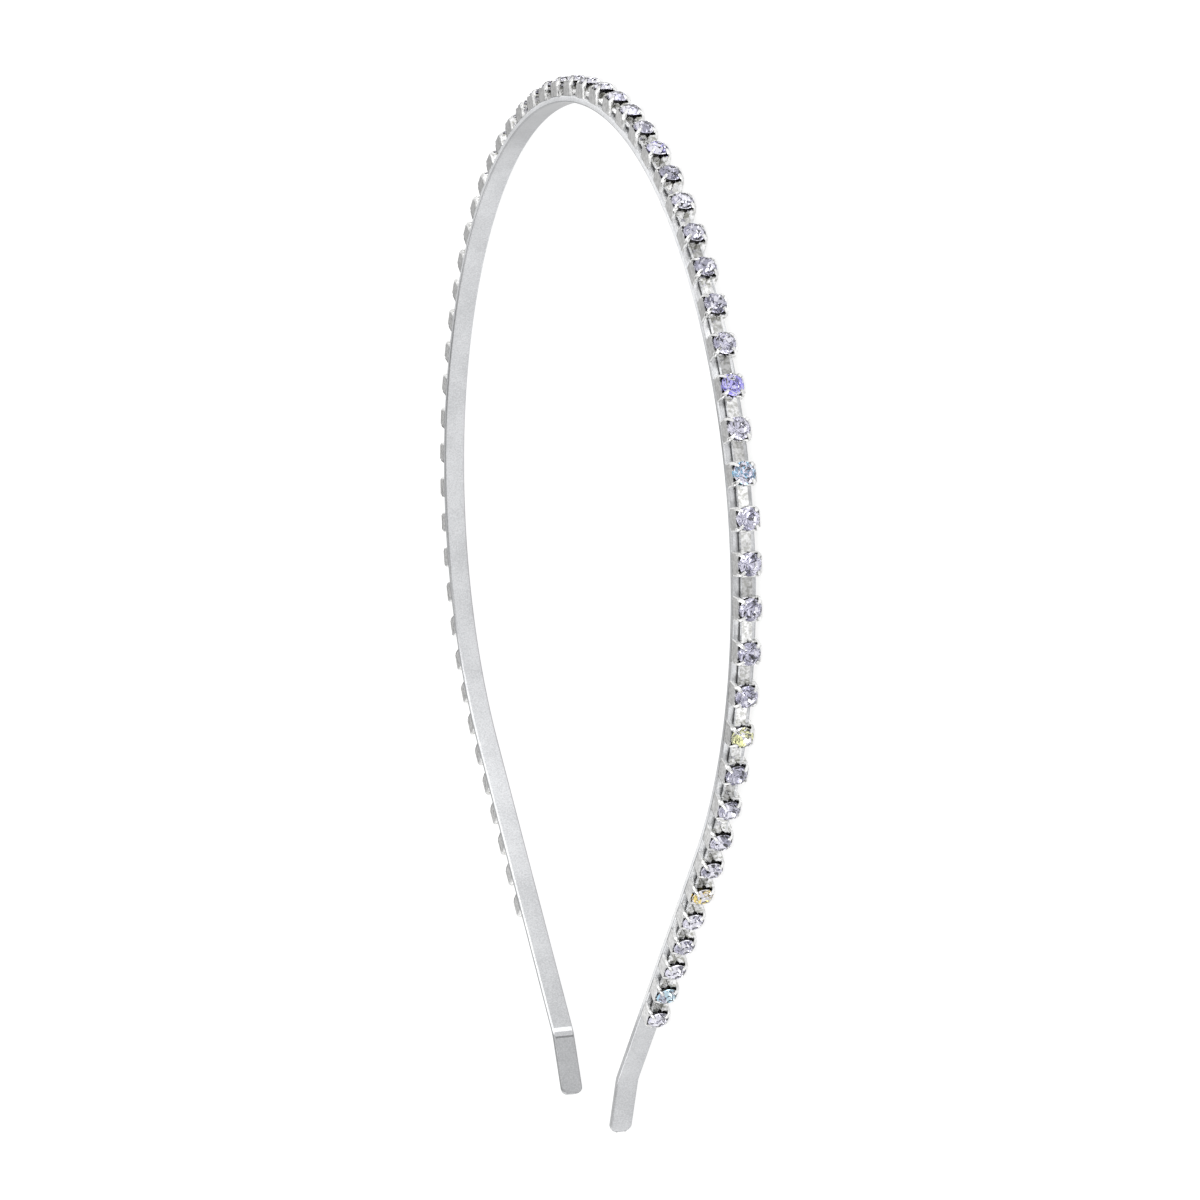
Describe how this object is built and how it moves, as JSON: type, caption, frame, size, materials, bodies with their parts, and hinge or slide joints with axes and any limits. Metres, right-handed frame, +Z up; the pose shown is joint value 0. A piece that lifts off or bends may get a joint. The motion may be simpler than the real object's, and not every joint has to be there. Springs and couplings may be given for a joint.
{
  "type": "rhinestone headband",
  "caption": "Open horseshoe headband of flat metal strip, its outer face carrying one row of round faceted stones in square claw cups.",
  "frame": {"origin": "middle of the whole part seen from above, on the surface that it lies on", "axes": "+Z up from the surface, across the strip's width; +Y from the tips to the crown of the hoop; +X across the head, towards the arm with the longer row of stones"},
  "size_m": [0.1322, 0.1488, 0.0032],
  "materials": {
    "band": "satin silver plate on steel strip, brighter along its rounded edges",
    "cup_chain": "bright silver plate on stamped brass",
    "rhinestones": "polished facets, pale lavender, foiled behind"
  },
  "bodies": {
    "root": {"band": "band", "cup_chain": "cup_chain", "rhinestones": "rhinestones"}
  },
  "joints": []
}
